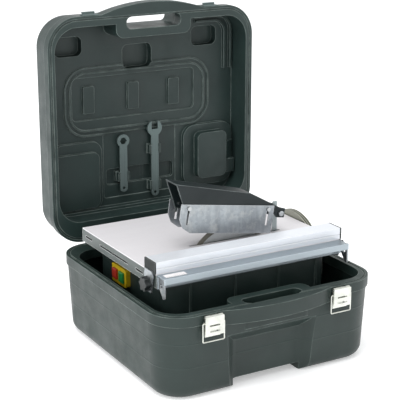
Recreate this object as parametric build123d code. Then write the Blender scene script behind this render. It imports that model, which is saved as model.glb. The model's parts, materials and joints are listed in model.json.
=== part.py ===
from build123d import *
import math
import os

# ---------------------------------------------------------------------------
# Wet tile cutter standing in its own carry case, lid open.
# Millimetres. X runs along the fence, +Y to the back, +Z up.
# The origin is on the ground under the middle of the case base.
# ---------------------------------------------------------------------------

# Carry case
CASE_W = 440.0
CASE_D = 434.0
CASE_R = 60.0
BASE_H = 152.0
BAND_H = 18.0
BAND_STEP = 2.0
DRAFT_DEG = 3.0
BASE_FILLET = 20.0
WALL = 4.5
RIM_SIDE = 14.0
RIM_BACK = 40.0
RIM_GROOVE_W = 3.0
RIM_GROOVE_D = 2.0
BULGE_HALF = 112.0
BULGE_OUT = 18.0
GRIP_HALF = 58.0
GRIP_FRONT = -209.0
GRIP_BACK = -186.0
GRIP_POCKET_D = 40.0
PANEL_HALF = 68.0
PANEL_FLARE = 20.0
PANEL_FRONT = -CASE_D / 2 + 3.0
PANEL_DEPTH = 20.0
PANEL_R = 20.0
PANEL_TOP = 104.0
PANEL_X = -8.0
ARCH_H = 14.0
ARCH_BACK = -142.0

# Lid, sized as if it lay shut on the base, then swung open about the hinge
LID_H = 78.0
LID_CAVITY = 56.0
LID_BACK_RECESS = 14.0
LID_OPEN_DEG = 90.0
PANEL_DROP = 4.0
BAY_DROP = 7.0
LID_GAP = 0.6
HINGE_Y = CASE_D / 2 + 3.5
HINGE_Z = BASE_H - 3.0
HINGE_PIN_R = 2.5
HINGE_WEB_LIFT = 1.2
KNUCKLE_R = 4.5
HINGE_X = (-120.0, 120.0)
KNUCKLE_L = 24.0
KNUCKLE_GAP = 0.4
# Each pocket: left, right, and its near and far distance from the lid's hinged edge
LID_POCKETS = ((-183.0, -127.0, 351.0, 388.0), (-41.0, 22.0, 318.0, 364.0), (112.0, 168.0, 350.0, 388.0))

# Spanners clipped in the lid
RING_X = -46.0
OPEN_X = 24.0
TOOL_CLIPS = ((RING_X, 104.0), (OPEN_X, 78.0), (OPEN_X, 152.0))
TOOL_HALF = 8.0
TOOL_T = 4.0
TOOL_LIFT = 4.6

# Draw latches on the front of the base
LATCH_X = {"left": -130.0, "right": 128.0}
LATCH_PIN_Z = 148.0
LATCH_PIN_Y = -222.0
LEVER_W = 36.0
LEVER_BOTTOM = 117.0
BAIL_Z = 138.0
BAIL_LEN = 33.0
BAIL_HALF = 20.5
WIRE_R = 1.2

# Table, skirts and front rail
TABLE_X0 = -186.0
TABLE_X1 = 190.0
TABLE_Y0 = -128.0
TABLE_Y1 = 168.0
TABLE_Z = 201.0
SHEET = 2.5
SKIRT = 25.0
SKIRT_T = 2.0
RAIL_Y0 = -157.0
RAIL_LIP = 11.0
SLOT_W = 7.0

# Blade, arbor and motor share one axis along Y
AXIS_X = 18.0
AXIS_Z = 141.0
BLADE_Y = -25.0
BLADE_R = 90.0
CORE_R = 82.0
CORE_T = 1.8
BLADE_RIM_T = 2.4
ARBOR_R = 7.5
FLANGE_R = 20.0
BEARING_R = 17.5
MOTOR_R = 42.0
MOTOR_Y0 = -2.0
MOTOR_Y1 = 100.0
COVER_PCR = 38.0

# Water tray
TRAY_X0 = -165.0
TRAY_X1 = 169.0
TRAY_Y0 = -126.0
TRAY_Y1 = 150.0
TRAY_Z0 = 5.0
TRAY_T = 3.5
TRAY_R = 30.0
BOSS_INSET = 18.0
DRAIN_Y = -60.0
DRAIN_Z = 24.0
DRAIN_R = 6.0
GLAND_X = 120.0
GLAND_Z = 160.0
GLAND_R = 8.0

# Switch in the left wall of the tray
SWITCH_X = TRAY_X0 - 9.0
SWITCH_Y0 = 12.0
SWITCH_Y1 = 68.0
SWITCH_Z0 = 128.0
SWITCH_Z1 = 162.0
BUTTON_Y = {"red": 53.0, "green": 27.5}
BUTTON_Z0 = 135.5
BUTTON_Z1 = 154.5

# Fence
FENCE_Y0 = -127.0
FENCE_Y1 = -90.0
FENCE_TOP = 222.0
FENCE_X0 = -186.0
FENCE_X1 = 192.0
FENCE_T = 2.5
FENCE_BOTTOM = TABLE_Z + 0.3
KNOB_Z = 181.0
KNOB_R = 13.0

# Guard, drawn level about its pivot and then raised at the nose
PIVOT_X = 116.0
PIVOT_Z = 240.0
PIVOT_R = 2.5
GUARD_TILT = 9.1
HOOD_SIDE = (
    (-228.0, 50.0), (-71.0, 36.6), (-3.0, 11.0), (9.0, 9.0), (9.0, -8.0),
    (-8.0, -8.0), (-14.0, -2.0), (-202.0, -2.0), (-209.5, 14.5),
)
HOOD_HALF = 20.0
HOOD_T = 2.5
PLATE_T = 1.5
PLATE_X0 = -213.0
PLATE_X1 = -17.0
PLATE_TOP = 14.5
PLATE_BOTTOM = -37.3
PLATE_SCREWS = (-197.0, -29.5)
PLATE_SCREW_Z = 7.5
PLATE_TRAVEL = 28.0
KNIFE_X0 = 111.0
KNIFE_X1 = 121.0
KNIFE_T = 2.0
KNIFE_TOP = 258.0

# Spare blades on edge between the tray and the right wall of the case
SPARE_X = (193.2, 197.8, 202.4)
SPARE_Y = 30.0
SPARE_Z = 123.0
SPARE_T = 2.2


# Radial clearance of every pin, shaft and stem in its hole
FIT = 0.05


def box(x0, x1, y0, y1, z0, z1):
    """Axis-aligned block between two corners."""
    at = Pos((x0 + x1) / 2, (y0 + y1) / 2, (z0 + z1) / 2)
    return at * Box(abs(x1 - x0), abs(y1 - y0), abs(z1 - z0))


def rod_x(x0, x1, y, z, r):
    """Round bar along X."""
    return Pos((x0 + x1) / 2, y, z) * Rot(0, 90, 0) * Cylinder(r, abs(x1 - x0))


def rod_y(y0, y1, x, z, r):
    """Round bar along Y."""
    return Pos(x, (y0 + y1) / 2, z) * Rot(90, 0, 0) * Cylinder(r, abs(y1 - y0))


def rod_z(z0, z1, x, y, r):
    """Round bar along Z."""
    return Pos(x, y, (z0 + z1) / 2) * Cylinder(r, abs(z1 - z0))


def slab(x0, x1, y0, y1, z0, z1, r, taper=0.0):
    """Block with rounded plan corners; a positive taper narrows it upwards."""
    plan = Pos((x0 + x1) / 2, (y0 + y1) / 2, z0) * RectangleRounded(x1 - x0, y1 - y0, r)
    return extrude(plan, z1 - z0, dir=(0, 0, 1), taper=taper)


def plate_xz(points, y0, y1):
    """Flat sheet with a polygon outline in X and Z, between two Y planes."""
    face = make_face(Polyline(*[(x, 0, z) for x, z in points], close=True))
    return Pos(0, y0, 0) * extrude(face, y1 - y0, dir=(0, 1, 0))


def plate_yz(points, x0, x1):
    """Flat sheet with a polygon outline in Y and Z, between two X planes."""
    face = make_face(Polyline(*[(0, y, z) for y, z in points], close=True))
    return Pos(x0, 0, 0) * extrude(face, x1 - x0, dir=(1, 0, 0))


def merged(shapes):
    """One shape from several that touch."""
    total = shapes[0]
    for shape in shapes[1:]:
        total = total + shape
    return total


# ---------------------------------------------------------------------------
# Carry case
# ---------------------------------------------------------------------------

def outline(inset, r):
    """Plan outline of the case, drawn in by the inset."""
    return RectangleRounded(CASE_W - 2 * inset, CASE_D - 2 * inset, r)


def grip_bulge(z0, z1, inset=0.0):
    """The bowed swelling at the front of a rim that holds the handle."""
    reach = BULGE_OUT - inset
    half = BULGE_HALF - inset
    y = -CASE_D / 2
    arc = ThreePointArc((-half, y + 1, z0), (0, y - reach, z0), (half, y + 1, z0))
    back = Line((half, y + 1, z0), (half, y + 45, z0))
    side = Line((half, y + 45, z0), (-half, y + 45, z0))
    close = Line((-half, y + 45, z0), (-half, y + 1, z0))
    face = make_face([arc, back, side, close])
    return extrude(face, z1 - z0, dir=(0, 0, 1))


def grip_hole(z0, z1):
    """The hand hole behind the handle bar."""
    return slab(-GRIP_HALF, GRIP_HALF, GRIP_FRONT, GRIP_BACK, z0, z1, 10.0)


def rim_opening(z0, z1, inset=RIM_SIDE):
    """The opening inside the rim: narrow at front and sides, wide at the hinge."""
    x = CASE_W / 2 - inset
    y0 = -CASE_D / 2 + inset + 6.0
    y1 = CASE_D / 2 - RIM_BACK
    whole = slab(-x, x, y0, y1, z0, z1, CASE_R - inset)
    grip = slab(-80.0, 80.0, y0 - 30.0, -170.0, z0, z1, 16.0)
    return whole - grip


def rim_groove(z):
    """The shallow line that runs round the rim between its two ridges."""
    outer = Pos(0, 0, z) * outline(5.0, CASE_R - 5.0)
    inner = Pos(0, 0, z) * outline(5.0 + RIM_GROOVE_W, CASE_R - 5.0 - RIM_GROOVE_W)
    return extrude(outer - inner, RIM_GROOVE_D, dir=(0, 0, 1))


def case_base():
    """Open lower half of the case with feet, front handle and blade cradle."""
    band = extrude(outline(0, CASE_R), BAND_H, dir=(0, 0, 1))
    band = Pos(0, 0, BASE_H - BAND_H) * band
    band = band + grip_bulge(BASE_H - 26.0, BASE_H)
    skirt_h = BASE_H - BAND_H + 1.0
    tub = Pos(0, 0, BASE_H - BAND_H + 1.0) * outline(BAND_STEP, CASE_R)
    tub = extrude(tub, skirt_h, dir=(0, 0, -1), taper=DRAFT_DEG)
    tub = fillet(tub.edges().group_by(Axis.Z)[0], BASE_FILLET)
    whole = band + tub
    cavity = Pos(0, 0, BASE_H - BAND_H) * outline(BAND_STEP + WALL, CASE_R - WALL)
    cavity = extrude(cavity, BASE_H - BAND_H - WALL, dir=(0, 0, -1), taper=DRAFT_DEG)
    cavity = fillet(cavity.edges().group_by(Axis.Z)[0], BASE_FILLET - WALL)
    shell = whole - cavity
    shell = shell - rim_opening(BASE_H - BAND_H - 1.0, BASE_H + 1.0)
    pocket_z = BASE_H - GRIP_POCKET_D - 4
    pocket = slab(-74.0, 74.0, -CASE_D / 2 + 2, -176.0, pocket_z, BASE_H - 8, 16.0)
    shell = shell + pocket
    shell = shell - grip_hole(BASE_H - GRIP_POCKET_D, BASE_H + 1.0)
    shell = shell - rim_groove(BASE_H - RIM_GROOVE_D)
    shell = shell + (panel_backing() & whole) - front_panel()
    shell = shell + blade_cradle()
    return shell - hinge_relief(lid=False) + hinge_knuckles(lid=False)


def panel_space(grow=0.0):
    """Space of the front recess, with S-shaped sides and a sloping top, grown for its backing."""
    back = PANEL_FRONT + PANEL_DEPTH + grow
    inner = PANEL_HALF + 0.41 * grow
    outer = PANEL_HALF + PANEL_FLARE + 1.41 * grow
    side = [(outer + 20.0, PANEL_FRONT - 30.0), (outer + 20.0, PANEL_FRONT), (outer, PANEL_FRONT), (inner, back)]
    points = side + [(-x, y) for x, y in reversed(side)]
    plan = make_face(Polyline(*[(PANEL_X + x, y, -1.0) for x, y in points], close=True))
    bends = [v for v in plan.vertices() if abs(v.X - PANEL_X) < outer + 1.0]
    space = extrude(fillet(bends, PANEL_R), PANEL_TOP + 2 * grow + 1.0, dir=(0, 0, 1))
    top = PANEL_TOP + 1.41 * grow
    step = top - PANEL_DEPTH - grow
    front = PANEL_FRONT - 31.0
    profile = [(front, -1.0), (back, -1.0), (back, step), (PANEL_FRONT, top), (front, top)]
    return space & plate_yz(profile, PANEL_X - outer - 30.0, PANEL_X + outer + 30.0)


def front_panel():
    """Recess in the front wall and the arch below it, which leave a foot at each side."""
    x0 = PANEL_X - PANEL_HALF
    x1 = PANEL_X + PANEL_HALF
    return panel_space() + slab(x0, x1, PANEL_FRONT - 14.0, ARCH_BACK, -1.0, ARCH_H, 12.0)


def panel_backing():
    """Walls behind the front recess and above the arch."""
    x0 = PANEL_X - PANEL_HALF - WALL
    x1 = PANEL_X + PANEL_HALF + WALL
    y1 = PANEL_FRONT + PANEL_DEPTH
    return panel_space(WALL) + box(x0, x1, y1, ARCH_BACK + WALL, 1.0, ARCH_H + WALL)


def blade_cradle():
    """Slotted saddle on the floor that keeps the spare blades on edge."""
    block = box(186.0, 208.0, SPARE_Y - 28.0, SPARE_Y + 28.0, 10.0, 42.0)
    half = SPARE_T / 2 + 0.1
    for x in SPARE_X:
        block = block - rod_x(x - half, x + half, SPARE_Y, SPARE_Z, BLADE_R + 0.1)
    return block


def knuckle_spans(lid):
    """X spans of the knuckles; the lid's one sits between the base's two at each hinge."""
    half = KNUCKLE_L / 2
    if lid:
        return [(x - half + KNUCKLE_GAP, x + half - KNUCKLE_GAP) for x in HINGE_X]
    left = [(x - 3 * half, x - half) for x in HINGE_X]
    right = [(x + half, x + 3 * half) for x in HINGE_X]
    return left + right


def hinge_knuckles(lid):
    """Barrels of one half of the hinges, with the webs that join them to its rim."""
    shapes = []
    for x0, x1 in knuckle_spans(lid):
        barrel = rod_x(x0, x1, HINGE_Y, HINGE_Z, KNUCKLE_R)
        if lid:
            z0 = HINGE_Z + HINGE_PIN_R + HINGE_WEB_LIFT
            web = box(x0, x1, CASE_D / 2 - 2.0, HINGE_Y, z0, z0 + 12.0)
        else:
            web = box(x0, x1, CASE_D / 2 - 2.0, HINGE_Y, HINGE_Z - KNUCKLE_R - 6, HINGE_Z - 0.5)
        bore = rod_x(x0 - 1, x1 + 1, HINGE_Y, HINGE_Z, HINGE_PIN_R + FIT)
        shapes.append(barrel + web - bore)
    return merged(shapes)


def hinge_relief(lid):
    """Round clearance in one half's rim for the other half's barrels."""
    spans = knuckle_spans(not lid)
    r = KNUCKLE_R + KNUCKLE_GAP
    return merged([rod_x(x0 - KNUCKLE_GAP, x1 + KNUCKLE_GAP, HINGE_Y, HINGE_Z, r) for x0, x1 in spans])


def hinge_pins():
    """Two steel pins, one through each hinge."""
    half = 1.5 * KNUCKLE_L + 1.0
    return [rod_x(x - half, x + half, HINGE_Y, HINGE_Z, HINGE_PIN_R) for x in HINGE_X]


def opened(shape):
    """Swing a shape drawn on the shut lid back to the open lid."""
    at = Pos(0, HINGE_Y, HINGE_Z)
    return at * Rot(-LID_OPEN_DEG, 0, 0) * at.inverse() * shape


def from_hinge(u):
    """Y of a point on the shut lid, from its distance to the back edge."""
    return CASE_D / 2 - u


def frame_ridge(x0, x1, u0, u1, r, z, width=3.0, height=2.5):
    """Raised line round a rounded rectangle on the lid's inner floor."""
    outer = slab(x0, x1, from_hinge(u1), from_hinge(u0), z - height, z + 1.0, r)
    inner = slab(x0 + width, x1 - width, from_hinge(u1) + width, from_hinge(u0) - width,
                 z - height - 1, z + 2.0, r - width)
    return outer - inner


def case_lid():
    """Lid drawn shut on the base: dished shell, inner relief, handle and hinge knuckles."""
    z0 = BASE_H + LID_GAP
    z_floor = z0 + LID_CAVITY
    z_top = z0 + LID_H
    band = extrude(Pos(0, 0, z0) * outline(0, CASE_R), BAND_H, dir=(0, 0, 1))
    band = band + grip_bulge(z0, z0 + 24.0)
    dome = Pos(0, 0, z0 + BAND_H - 1.0) * outline(BAND_STEP, CASE_R)
    dome = extrude(dome, z_top - z0 - BAND_H + 1.0, dir=(0, 0, 1), taper=DRAFT_DEG)
    dome = fillet(dome.edges().group_by(Axis.Z)[-1], BASE_FILLET)
    lid = band + dome
    lid = lid - rim_opening(z0 - 1.0, z_floor)
    lid = lid - rim_groove(z0)
    lid = lid - grip_hole(z0 - 1.0, z0 + 26.0)
    half = GRIP_HALF + 6
    lid = lid - slab(-half, half, -CASE_D / 2 - 1, GRIP_BACK, z0 + 24.0, z_top + 1, 10.0)
    recess_z = z_top - LID_BACK_RECESS
    lid = lid - slab(-178.0, 178.0, from_hinge(366.0), from_hinge(42.0), recess_z, z_top + 1, 40.0)
    lid = lid + back_ribs(z_top)
    for x0, x1, u0, u1 in LID_POCKETS:
        y0 = from_hinge(u1)
        y1 = from_hinge(u0)
        lid = lid + slab(x0 - 4, x1 + 4, y0 - 4, y1 + 4, z_floor, z_top - 1.0, 14.0)
    lid = lid + lid_relief(z_floor)
    for x0, x1, u0, u1 in LID_POCKETS:
        lid = lid - slab(x0, x1, from_hinge(u1), from_hinge(u0), z_floor - 8.0, z_top - 5.0, 11.0)
    lid = lid - lid_recesses(z_floor)
    return lid - hinge_relief(lid=True) + hinge_knuckles(lid=True)


def back_ribs(z_top):
    """Stiffening ribs in the recessed back of the lid."""
    z0 = z_top - LID_BACK_RECESS - 0.5
    z1 = z_top - 3.0
    y0 = from_hinge(364.0)
    y1 = from_hinge(44.0)
    ribs = [box(x - 3, x + 3, y0, y1, z0, z1) for x in (-90.0, 0.0, 90.0)]
    return merged([box(-176.0, 176.0, -3.0, 3.0, z0, z1)] + ribs)


def lid_relief(z):
    """Raised lines, blocks and tool clips moulded on the lid's inner floor."""
    parts = []
    parts.append(frame_ridge(-167.0, 151.0, 192.0, 328.0, 46.0, z, 3.0, 3.5))
    parts.append(frame_ridge(-157.0, 141.0, 202.0, 318.0, 36.0, z, 3.0, 3.0))
    for x1, u1, r in ((187.0, 400.0, 26.0), (202.0, 409.0, 32.0)):
        ridge = frame_ridge(-x1, x1, 20.0, u1, r, z, 4.0, 7.0)
        parts.append(ridge & box(120.0, 210.0, from_hinge(420.0), from_hinge(300.0), z - 8.0, z + 1))
    for x in (-115.0, -19.0, 71.0):
        parts.append(slab(x - 12, x + 12, from_hinge(290.0), from_hinge(237.0), z - 1.5, z + PANEL_DROP + 1, 3.0))
    parts.append(slab(89.0, 203.0, from_hinge(190.0), from_hinge(62.0), z - 8.0, z + 1, 26.0))
    parts.append(slab(114.0, 181.0, from_hinge(175.0), from_hinge(80.0), z - 24.0, z - 7.0, 12.0))
    parts.append(box(176.0, 203.0, from_hinge(112.0), from_hinge(84.0), z - 18.0, z - 7.0))
    parts.append(plate_xz([(180.0, z - 22.0), (203.0, z - 9.0), (203.0, z), (180.0, z)],
                          from_hinge(150.0), from_hinge(112.0)))
    parts.append(slab(-196.0, -92.0, from_hinge(182.0), from_hinge(44.0), z - 6.0, z + 1, 22.0))
    parts.append(slab(-196.0, -100.0, from_hinge(162.0), from_hinge(50.0), z - 12.0, z - 5.0, 14.0))
    parts.append(box(-206.0, 206.0, from_hinge(46.0), from_hinge(38.0), z - 14.0, z + 1))
    for x, u in TOOL_CLIPS:
        parts.append(tool_clip(x, u, z))
    return merged(parts)


def lid_recesses(z):
    """Sunk panel, sunk tool bay and the steps inside them."""
    panel = slab(-150.0, 117.0, from_hinge(307.0), from_hinge(224.0), z - 6.0, z + PANEL_DROP, 9.0)
    for x in (-115.0, -19.0, 71.0):
        panel = panel - slab(x - 12, x + 12, from_hinge(290.0), from_hinge(237.0), z - 1.5, z + 9, 3.0)
    bay = slab(-86.0, 74.0, from_hinge(194.0), from_hinge(62.0), z - 6.0, z + 1.2, 5.0)
    deep = slab(-80.0, 68.0, from_hinge(120.0), from_hinge(88.0), z - 6.0, z + BAY_DROP, 6.0)
    for x, u in TOOL_CLIPS:
        keep = box(x - 14, x + 14, from_hinge(u + 10), from_hinge(u - 10), z - 20.0, z + 12)
        bay = bay - keep
        deep = deep - keep
    return panel + bay + deep


def tool_clip(x, u, z):
    """Pair of moulded cheeks that hold one spanner shank."""
    y = from_hinge(u)
    gap = TOOL_HALF + 0.4
    return merged([
        box(x - gap - 4, x - gap, y - 9, y + 9, z - 10.0, z + 1),
        box(x + gap, x + gap + 4, y - 9, y + 9, z - 10.0, z + 1),
    ])


def ring_spanner(z):
    """Flat ring spanner for the clamp screws."""
    x = RING_X
    y0 = from_hinge(80.0)
    y1 = from_hinge(176.0)
    shank = box(x - TOOL_HALF, x + TOOL_HALF, y1, y0, z - TOOL_T - TOOL_LIFT, z - TOOL_LIFT)
    head = rod_z(z - TOOL_T - TOOL_LIFT, z - TOOL_LIFT, x, y1, 13.0)
    tail = rod_z(z - TOOL_T - TOOL_LIFT, z - TOOL_LIFT, x, y0, TOOL_HALF)
    hexagon = extrude(Pos(x, y1, z - 10) * RegularPolygon(6.5, 6, major_radius=False), 9)
    hang = rod_z(z - 10, z, x, y0, 3.0)
    return shank + head + tail - hexagon - hang


def open_spanner(z):
    """Flat open-ended spanner for the arbor's flats."""
    x = OPEN_X
    y0 = from_hinge(62.0)
    y1 = from_hinge(190.0)
    shank = box(x - TOOL_HALF, x + TOOL_HALF, y1, y0, z - TOOL_T - TOOL_LIFT, z - TOOL_LIFT)
    head = rod_z(z - TOOL_T - TOOL_LIFT, z - TOOL_LIFT, x, y1 - 4, 16.0)
    tail = rod_z(z - TOOL_T - TOOL_LIFT, z - TOOL_LIFT, x, y0, TOOL_HALF)
    jaw = box(x - 7.0, x + 7.0, y1 - 30, y1 - 2, z - 10, z)
    hang = rod_z(z - 10, z, x, y0, 3.0)
    return shank + head + tail - jaw - hang


def lid_catch(x):
    """Steel hook on the lid's front edge that the bail pulls on."""
    y = -CASE_D / 2
    z0 = BASE_H + LID_GAP
    foot = box(x - 16, x + 16, y - 1.5, y, z0 + 2.0, z0 + 16.0)
    lip = box(x - 13, x + 13, y - 5.5, y - 1.5, z0 + 14.5, z0 + 16.0)
    hook = box(x - 13, x + 13, y - 5.5, y - 4.3, z0 + 16.0, z0 + 19.0)
    return foot + lip + hook


# ---------------------------------------------------------------------------
# Draw latches
# ---------------------------------------------------------------------------

def latch_plate(x):
    """Steel plate riveted to the case front, with the middle hinge knuckle."""
    y = -CASE_D / 2
    sheet = box(x - 15, x + 15, y - 1.4, y - 0.1, 112.0, LATCH_PIN_Z - 4.0)
    tab = box(x - 8, x + 8, y - 1.4, y - 0.1, 140.0, LATCH_PIN_Z + 2.0)
    knuckle = rod_x(x - 8, x + 8, LATCH_PIN_Y, LATCH_PIN_Z, 2.7)
    web = box(x - 8, x + 8, LATCH_PIN_Y, y - 0.1, LATCH_PIN_Z - 2.6, LATCH_PIN_Z + 2.0)
    bore = rod_x(x - 9, x + 9, LATCH_PIN_Y, LATCH_PIN_Z, WIRE_R + FIT)
    return sheet + tab + knuckle + web - bore


def latch_lever(x):
    """Pressed steel lever with two slots; the bail turns in its side lugs."""
    y1 = LATCH_PIN_Y - 3.1
    sheet = box(x - LEVER_W / 2, x + LEVER_W / 2, y1 - 1.4, y1, LEVER_BOTTOM, LATCH_PIN_Z + 2.0)
    sheet = fillet(sheet.edges().filter_by(Axis.Y), 2.0)
    for z in (124.0, 134.0):
        sheet = sheet - Pos(0, y1 + 4, z) * Rot(90, 0, 0) * slab(x - 10, x + 10, -1.5, 1.5, 0, 9, 1.4)
    shapes = [sheet]
    for side in (-1, 1):
        a = x + side * 8.4
        b = x + side * (LEVER_W / 2 - 1.5)
        knuckle = rod_x(min(a, b), max(a, b), LATCH_PIN_Y, LATCH_PIN_Z, 3.3)
        bore = rod_x(x - 30, x + 30, LATCH_PIN_Y, LATCH_PIN_Z, WIRE_R + FIT)
        c = x + side * (LEVER_W / 2 - 2.5)
        d = x + side * LEVER_W / 2
        lug = box(min(c, d), max(c, d), y1 - 0.2, LATCH_PIN_Y + 2.6, BAIL_Z - 2.6, BAIL_Z + 2.6)
        hole = rod_x(x - 30, x + 30, LATCH_PIN_Y, BAIL_Z, WIRE_R + FIT)
        shapes.append(knuckle - bore)
        shapes.append(lug - hole)
    return merged(shapes)


def latch_bail(x):
    """Bent wire loop whose ends turn in the lever's lugs."""
    z0 = BAIL_Z - BAIL_LEN
    end = LEVER_W / 2 - 3.0
    path = FilletPolyline(
        (x - end, LATCH_PIN_Y, BAIL_Z), (x - BAIL_HALF, LATCH_PIN_Y, BAIL_Z),
        (x - BAIL_HALF, LATCH_PIN_Y, z0), (x + BAIL_HALF, LATCH_PIN_Y, z0),
        (x + BAIL_HALF, LATCH_PIN_Y, BAIL_Z), (x + end, LATCH_PIN_Y, BAIL_Z), radius=2.0)
    start = Plane(origin=(x - end, LATCH_PIN_Y, BAIL_Z), z_dir=(-1, 0, 0))
    return sweep(start * Circle(WIRE_R), path=path)


def latch_pins():
    """One pin through the knuckles of each latch."""
    return [rod_x(x - 16, x + 16, LATCH_PIN_Y, LATCH_PIN_Z, WIRE_R) for x in LATCH_X.values()]


def latch_rivets():
    """Two dome rivets through each latch plate."""
    shapes = []
    y = -CASE_D / 2 - 1.4
    on_base = (Align.CENTER, Align.CENTER, Align.MIN)
    for x in LATCH_X.values():
        for dx in (-9.0, 9.0):
            head = Cone(2.6, 1.6, 1.0, align=on_base)
            shapes.append(Pos(x + dx, y, 119.0) * Rot(90, 0, 0) * head)
    return shapes


# ---------------------------------------------------------------------------
# Table, rail and tray
# ---------------------------------------------------------------------------

def corner_bosses():
    """Centres of the four fixing points between table and tray."""
    xs = (TRAY_X0 + BOSS_INSET, TRAY_X1 - BOSS_INSET)
    ys = (TRAY_Y0 + BOSS_INSET, TRAY_Y1 - BOSS_INSET)
    return [(x, y) for x in xs for y in ys]


def table_top():
    """Folded sheet table with skirts, a blade slot and fixing bosses."""
    top = slab(TABLE_X0, TABLE_X1, TABLE_Y0, TABLE_Y1, TABLE_Z - SHEET, TABLE_Z, 2.0)
    skirt = box(TABLE_X0, TABLE_X1, TABLE_Y0, TABLE_Y1, TABLE_Z - SKIRT, TABLE_Z - SHEET)
    skirt = skirt - box(TABLE_X0 + SKIRT_T, TABLE_X1 - SKIRT_T, TABLE_Y0 - 1, TABLE_Y1 - SKIRT_T,
                        TABLE_Z - SKIRT - 1, TABLE_Z - SHEET)
    table = top + skirt
    table = table - slab(-66.0, 128.0, BLADE_Y - SLOT_W / 2, BLADE_Y + SLOT_W / 2,
                         TABLE_Z - SHEET - 1, TABLE_Z + 1, SLOT_W / 2 - 0.1)
    for y0, y1 in ((126.0, 154.0), (-21.0, 93.0), (-78.0, -50.0)):
        for x in (TABLE_X0, TABLE_X1):
            table = table - box(x - 5, x + 5, y0, y1, 186.0, 190.0)
    for x, y in corner_bosses():
        table = table + rod_z(188.2, TABLE_Z - SHEET + 0.5, x, y, 6.0)
        table = table - rod_z(187.0, TABLE_Z - SHEET - 0.8, x, y, 2.1)
    return table


def front_rail():
    """Aluminium extrusion along the front edge, with a raised front lip."""
    profile = [
        (TABLE_Y0 - 0.3, TABLE_Z - 0.5), (RAIL_Y0 + 2.5, TABLE_Z - 0.5),
        (RAIL_Y0 + 2.5, TABLE_Z + 0.3), (RAIL_Y0, TABLE_Z + 0.3),
        (RAIL_Y0, TABLE_Z - RAIL_LIP), (RAIL_Y0 + 2.0, TABLE_Z - RAIL_LIP),
        (RAIL_Y0 + 2.0, TABLE_Z - 3.2), (TABLE_Y0 - 5.0, TABLE_Z - 3.2),
        (TABLE_Y0 - 5.0, TABLE_Z - SKIRT), (TABLE_Y0 - 0.3, TABLE_Z - SKIRT),
    ]
    return plate_yz(profile, TABLE_X0, TABLE_X1)


def rail_bracket(side):
    """Steel end bracket that ties the front rail to the table."""
    x0 = TABLE_X0 + 0.5 if side == "left" else TABLE_X1 - 1.5
    points = [
        (TABLE_Y0 - 5.2, TABLE_Z - 4.0), (RAIL_Y0 + 2.4, TABLE_Z - 4.0),
        (RAIL_Y0 + 2.4, TABLE_Z - 35.0), (RAIL_Y0 + 8.0, TABLE_Z - 38.0),
        (RAIL_Y0 + 11.0, TABLE_Z - 33.0), (TABLE_Y0 - 5.2, TABLE_Z - 18.0),
    ]
    sheet = plate_yz(points, x0, x0 + 2.5)
    return sheet - rod_x(x0 - 1, x0 + 4, RAIL_Y0 + 12.0, TABLE_Z - 15.0, 4.0)


def scale_label():
    """Thin printed strip for measuring, at the left of the rail."""
    return box(TABLE_X0 + 8, TABLE_X0 + 48, RAIL_Y0 + 8, RAIL_Y0 + 22, TABLE_Z - 0.5, TABLE_Z - 0.2)


def water_tray():
    """Deep open tray that holds the water and carries the table."""
    top = TABLE_Z - SHEET - 0.1
    outer = slab(TRAY_X0, TRAY_X1, TRAY_Y0, TRAY_Y1, TRAY_Z0, top, TRAY_R)
    outer = fillet(outer.edges().group_by(Axis.Z)[0], 8.0)
    inner = slab(TRAY_X0 + TRAY_T, TRAY_X1 - TRAY_T, TRAY_Y0 + TRAY_T, TRAY_Y1 - TRAY_T,
                 TRAY_Z0 + TRAY_T, top + 1, TRAY_R - TRAY_T)
    tray = outer - inner
    within = slab(TRAY_X0 + 1, TRAY_X1 - 1, TRAY_Y0 + 1, TRAY_Y1 - 1, 180.0, 190.0, TRAY_R - 1)
    for x, y in corner_bosses():
        gusset = slab(x - 16, x + 16, y - 16, y + 16, 184.0, 188.0, 4.0)
        tray = tray + (gusset & within)
        tray = tray - rod_z(183.0, 189.0, x, y, 2.1)
    for x in (-120.0, -30.0, 60.0, 140.0):
        tray = tray + box(x - 2, x + 2, TRAY_Y0 - 2.0, TRAY_Y0 + 1, 14.0, 186.0)
    tray = tray - box(TRAY_X0 - 1, TRAY_X0 + TRAY_T + 1, SWITCH_Y0 + 3.9, SWITCH_Y1 - 3.9,
                      SWITCH_Z0 + 3.9, SWITCH_Z1 - 3.9)
    tray = tray - rod_y(TRAY_Y1 - 6, TRAY_Y1 + 1, GLAND_X, GLAND_Z, GLAND_R + FIT)
    return tray - rod_x(TRAY_X1 - 6, TRAY_X1 + 1, DRAIN_Y, DRAIN_Z, DRAIN_R + FIT)


def drain_plug():
    """Rubber plug in the drain hole at the foot of the tray."""
    stem = rod_x(TRAY_X1 - TRAY_T - 2, TRAY_X1 + 1, DRAIN_Y, DRAIN_Z, DRAIN_R)
    return stem + rod_x(TRAY_X1 + 0.02, TRAY_X1 + 4.0, DRAIN_Y, DRAIN_Z, DRAIN_R + 3.0)


def table_screws():
    """Four screws driven up through the tray's corners into the table."""
    shapes = []
    for x, y in corner_bosses():
        head = rod_z(180.5, 184.0, x, y, 4.5)
        socket = extrude(Pos(x, y, 180.0) * RegularPolygon(2.0, 6), 2.5)
        shapes.append(head - socket + rod_z(183.5, 197.0, x, y, 2.0))
    return shapes


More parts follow.
